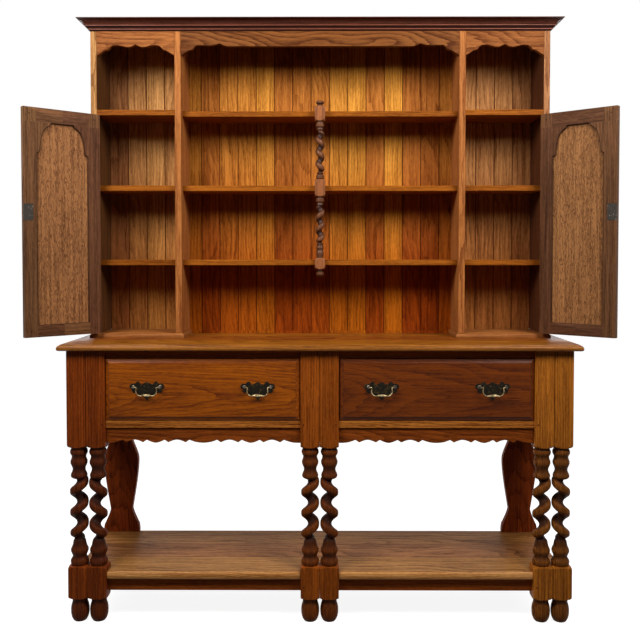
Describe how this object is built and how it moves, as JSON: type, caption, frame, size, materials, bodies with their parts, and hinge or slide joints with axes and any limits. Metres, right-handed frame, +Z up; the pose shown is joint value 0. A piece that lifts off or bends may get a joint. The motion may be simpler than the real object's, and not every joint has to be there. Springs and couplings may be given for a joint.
{
  "type": "kitchen dresser",
  "caption": "Free-standing kitchen dresser: a base on twisted legs with drawers over a pot board, and a plate rack with arched-panel cupboards, niches and open shelves.",
  "frame": {"origin": "on the floor, at the middle of the footprint's bounding box", "axes": "+Z up, the front faces -Y, +X is to the right when facing the dresser"},
  "size_m": [1.932, 0.445, 2],
  "materials": {
    "oak_top": "waxed oak worktop and pot board",
    "oak_frame": "waxed oak of the carcass, rails and shelves",
    "oak_turned": "dark stained, polished oak of the turned legs",
    "oak_drawer": "waxed oak drawer front",
    "oak_board": "golden oak matched boarding",
    "oak_door": "drier, greyer oak of the doors' inner faces",
    "oak_panel": "oak door panel",
    "pale_lining": "unstained drawer lining and runners",
    "antique_brass": "dark antiqued brass",
    "bright_brass": "polished brass worn bright",
    "dark_steel": "darkened steel lock"
  },
  "bodies": {
    "root": {"worktop": "oak_top", "pot_board": "oak_top", "pot_board_rail": "oak_frame", "top_rail": "oak_frame", "apron": "oak_frame", "base_back": "oak_board", "drawer_bearer_centre": "pale_lining", "cornice": "oak_frame", "back_boards": "oak_board", "spindle": "oak_turned", "valance_centre": "oak_frame", "front_leg_left_pair_left": "oak_turned", "front_leg_left_pair_right": "oak_turned", "front_leg_centre_pair_left": "oak_turned", "front_leg_centre_pair_right": "oak_turned", "front_leg_right_pair_left": "oak_turned", "front_leg_right_pair_right": "oak_turned", "centre_shelf_upper": "oak_frame", "centre_shelf_middle": "oak_frame", "centre_shelf_lower": "oak_frame", "rear_leg_left": "oak_frame", "base_side_left": "oak_frame", "rack_side_left": "oak_frame", "rack_post_left": "oak_frame", "cupboard_base_left": "oak_frame", "niche_floor_left": "oak_frame", "valance_left": "oak_frame", "cupboard_shelf_left_upper": "oak_frame", "hinge_left_upper": "antique_brass", "cupboard_shelf_left_lower": "oak_frame", "hinge_left_lower": "antique_brass", "rear_leg_right": "oak_frame", "base_side_right": "oak_frame", "rack_side_right": "oak_frame", "rack_post_right": "oak_frame", "cupboard_base_right": "oak_frame", "niche_floor_right": "oak_frame", "valance_right": "oak_frame", "cupboard_shelf_right_upper": "oak_frame", "hinge_right_upper": "antique_brass", "cupboard_shelf_right_lower": "oak_frame", "hinge_right_lower": "antique_brass"},
    "door_left": {"door_left_frame": "oak_door", "door_left_panel": "oak_panel", "door_left_lock": "dark_steel"},
    "drawer_left": {"drawer_front_left": "oak_drawer", "drawer_box_left": "pale_lining", "handle_left_drawer_left_backplate": "antique_brass", "handle_left_drawer_right_backplate": "antique_brass"},
    "bail_left_drawer_left": {"handle_left_drawer_left_bail": "bright_brass"},
    "bail_left_drawer_right": {"handle_left_drawer_right_bail": "bright_brass"},
    "door_right": {"door_right_frame": "oak_door", "door_right_panel": "oak_panel", "door_right_lock": "dark_steel"},
    "drawer_right": {"drawer_front_right": "oak_drawer", "drawer_box_right": "pale_lining", "handle_right_drawer_left_backplate": "antique_brass", "handle_right_drawer_right_backplate": "antique_brass"},
    "bail_right_drawer_left": {"handle_right_drawer_left_bail": "bright_brass"},
    "bail_right_drawer_right": {"handle_right_drawer_right_bail": "bright_brass"}
  },
  "joints": [
    {"name": "door_left_hinge", "type": "hinge", "parent": "root", "child": "door_left", "pos_m": [-0.7675, 0.0135, 1.2987], "axis": [0, 0, -1], "range_deg": [-139.5, 40.5]},
    {"name": "drawer_left_slide", "type": "slide", "parent": "root", "child": "drawer_left", "axis": [0, -1, 0], "range_m": [0, 0.25]},
    {"name": "bail_left_drawer_left_swing", "type": "hinge", "parent": "drawer_left", "child": "bail_left_drawer_left", "pos_m": [-0.55493, -0.2128, 0.7702], "axis": [-1, 0, 0], "range_deg": [-12, 165]},
    {"name": "bail_left_drawer_right_swing", "type": "hinge", "parent": "drawer_left", "child": "bail_left_drawer_right", "pos_m": [-0.19892, -0.2128, 0.7702], "axis": [-1, 0, 0], "range_deg": [-12, 165]},
    {"name": "door_right_hinge", "type": "hinge", "parent": "root", "child": "door_right", "pos_m": [0.7675, 0.0135, 1.2987], "axis": [0, 0, 1], "range_deg": [-139.5, 40.5]},
    {"name": "drawer_right_slide", "type": "slide", "parent": "root", "child": "drawer_right", "axis": [0, -1, 0], "range_m": [0, 0.25]},
    {"name": "bail_right_drawer_left_swing", "type": "hinge", "parent": "drawer_right", "child": "bail_right_drawer_left", "pos_m": [0.19892, -0.2128, 0.7702], "axis": [-1, 0, 0], "range_deg": [-12, 165]},
    {"name": "bail_right_drawer_right_swing", "type": "hinge", "parent": "drawer_right", "child": "bail_right_drawer_right", "pos_m": [0.55493, -0.2128, 0.7702], "axis": [-1, 0, 0], "range_deg": [-12, 165]}
  ]
}
